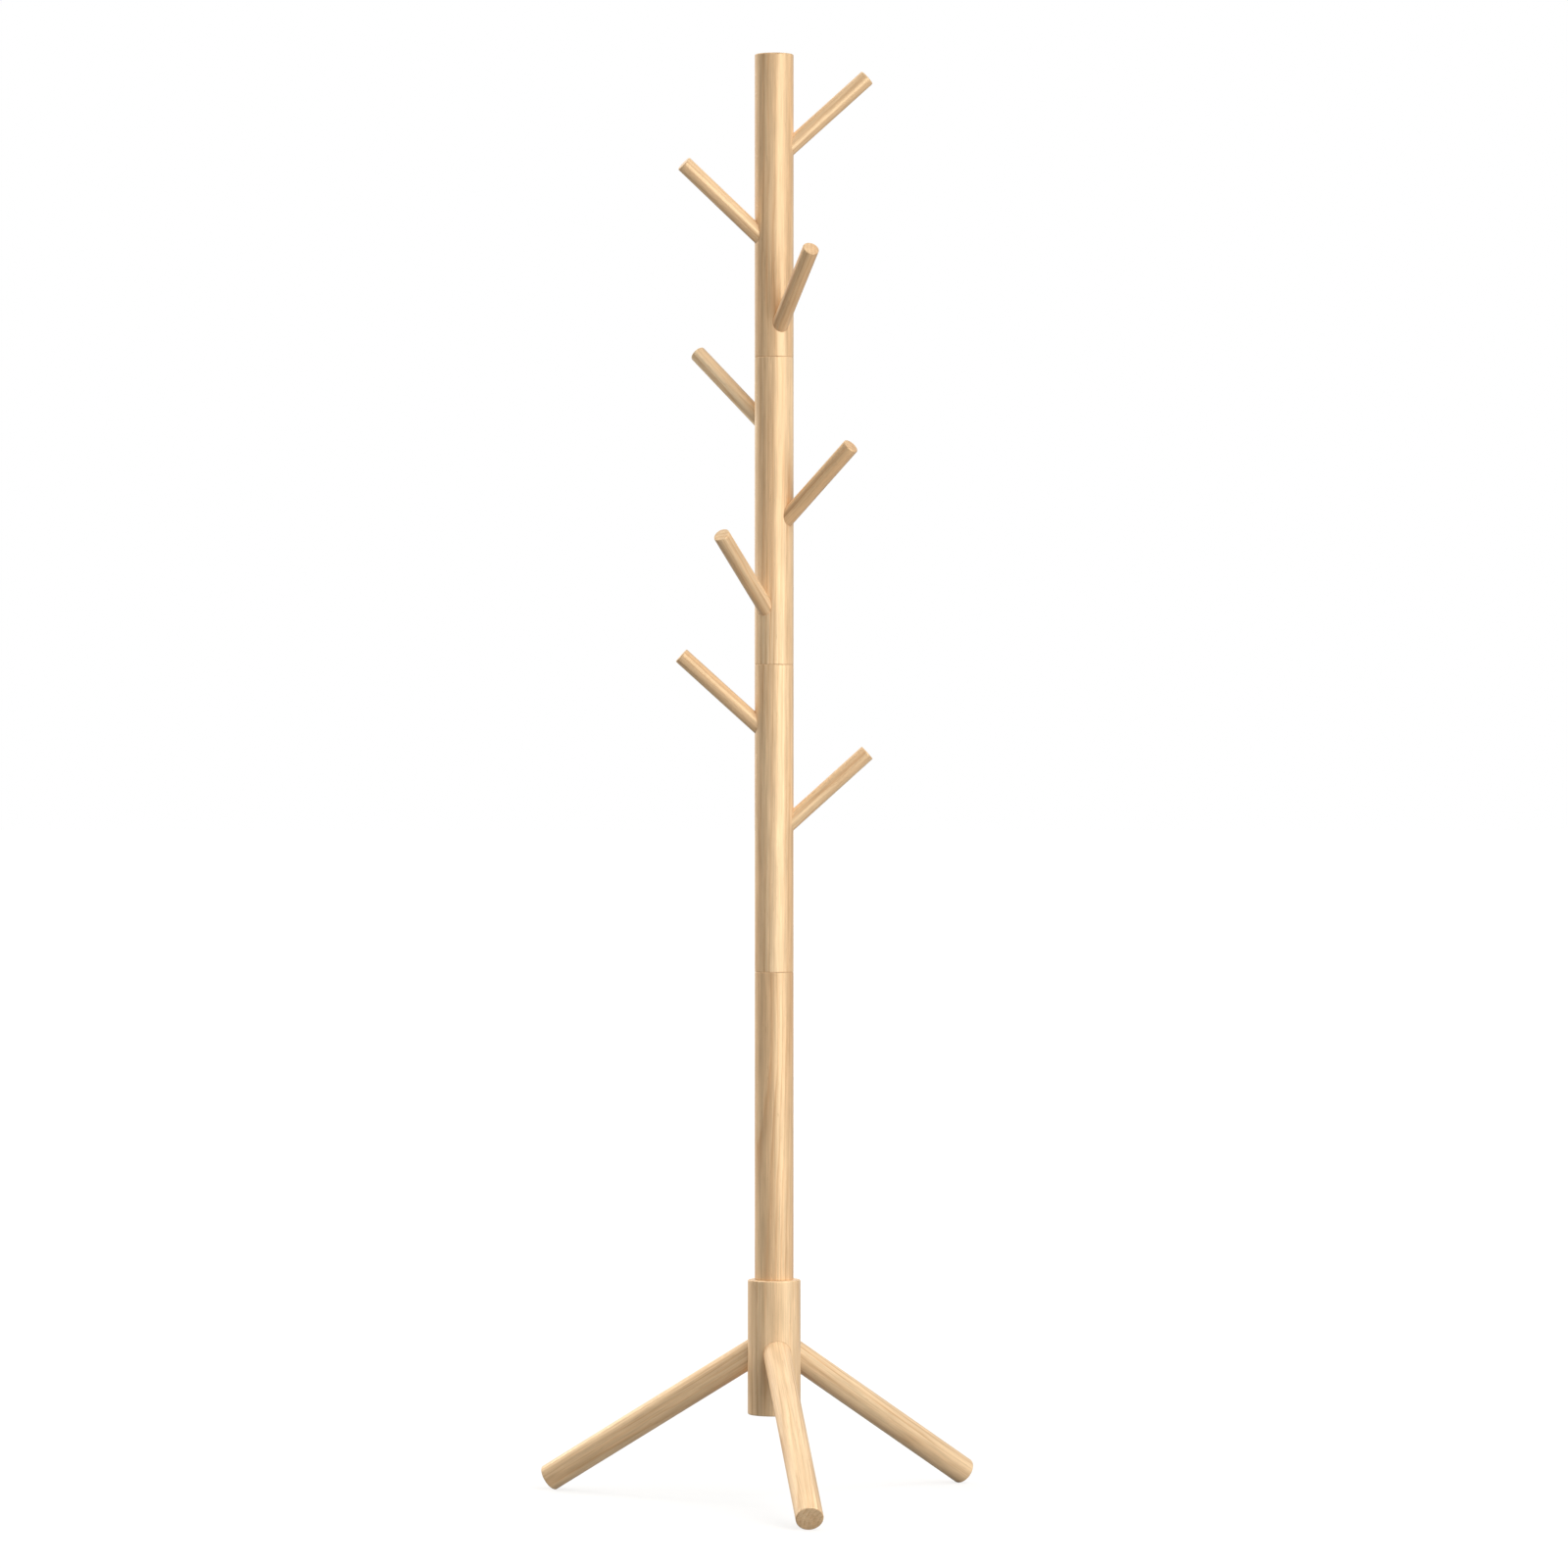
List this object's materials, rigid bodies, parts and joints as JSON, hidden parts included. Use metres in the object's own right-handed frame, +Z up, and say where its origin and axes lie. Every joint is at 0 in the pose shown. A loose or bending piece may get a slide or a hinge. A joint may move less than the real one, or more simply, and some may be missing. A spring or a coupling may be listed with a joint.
{
  "type": "standing coat rack",
  "caption": "Free-standing wooden coat rack: a straight pole of screwed sections on a three-legged hub, with slanting dowel pegs spread round its upper half.",
  "frame": {"origin": "on the floor, where the pole's axis meets it", "axes": "+Z up along the pole; -Y is the front, the way the front leg points; +X is to the right seen from the front"},
  "size_m": [0.532, 0.5001, 1.748],
  "materials": {
    "hub_wood": "pale wood turned with the grain upright, sanded, clear matt lacquer",
    "leg_wood": "pale wood dowel, grain along the leg, sanded, clear matt lacquer",
    "pole_wood": "pale wood dowel, grain along the pole, sanded, clear matt lacquer",
    "peg_wood": "pale wood dowel, grain along the peg, sanded, clear matt lacquer",
    "bolt_steel": "zinc-plated steel",
    "insert_brass": "plain machined brass"
  },
  "bodies": {
    "root": {"base_hub": "hub_wood", "leg_front": "leg_wood", "leg_right": "leg_wood", "leg_left": "leg_wood", "leg_bolt_front": "bolt_steel", "leg_bolt_right": "bolt_steel", "leg_bolt_left": "bolt_steel", "leg_insert_front": "insert_brass", "leg_insert_right": "insert_brass", "leg_insert_left": "insert_brass", "pole_section_1": "pole_wood", "pole_section_2": "pole_wood", "pole_section_3": "pole_wood", "pole_section_4": "pole_wood", "pole_bolt_1": "bolt_steel", "pole_bolt_2": "bolt_steel", "pole_bolt_3": "bolt_steel", "pole_bolt_4": "bolt_steel", "pole_insert_1": "insert_brass", "pole_insert_2": "insert_brass", "pole_insert_3": "insert_brass", "pole_insert_4": "insert_brass", "peg_1": "peg_wood", "peg_2": "peg_wood", "peg_3": "peg_wood", "peg_4": "peg_wood", "peg_5": "peg_wood", "peg_6": "peg_wood", "peg_7": "peg_wood", "peg_8": "peg_wood", "peg_bolt_1": "bolt_steel", "peg_bolt_2": "bolt_steel", "peg_bolt_3": "bolt_steel", "peg_bolt_4": "bolt_steel", "peg_bolt_5": "bolt_steel", "peg_bolt_6": "bolt_steel", "peg_bolt_7": "bolt_steel", "peg_bolt_8": "bolt_steel", "peg_insert_1": "insert_brass", "peg_insert_2": "insert_brass", "peg_insert_3": "insert_brass", "peg_insert_4": "insert_brass", "peg_insert_5": "insert_brass", "peg_insert_6": "insert_brass", "peg_insert_7": "insert_brass", "peg_insert_8": "insert_brass"}
  },
  "joints": []
}
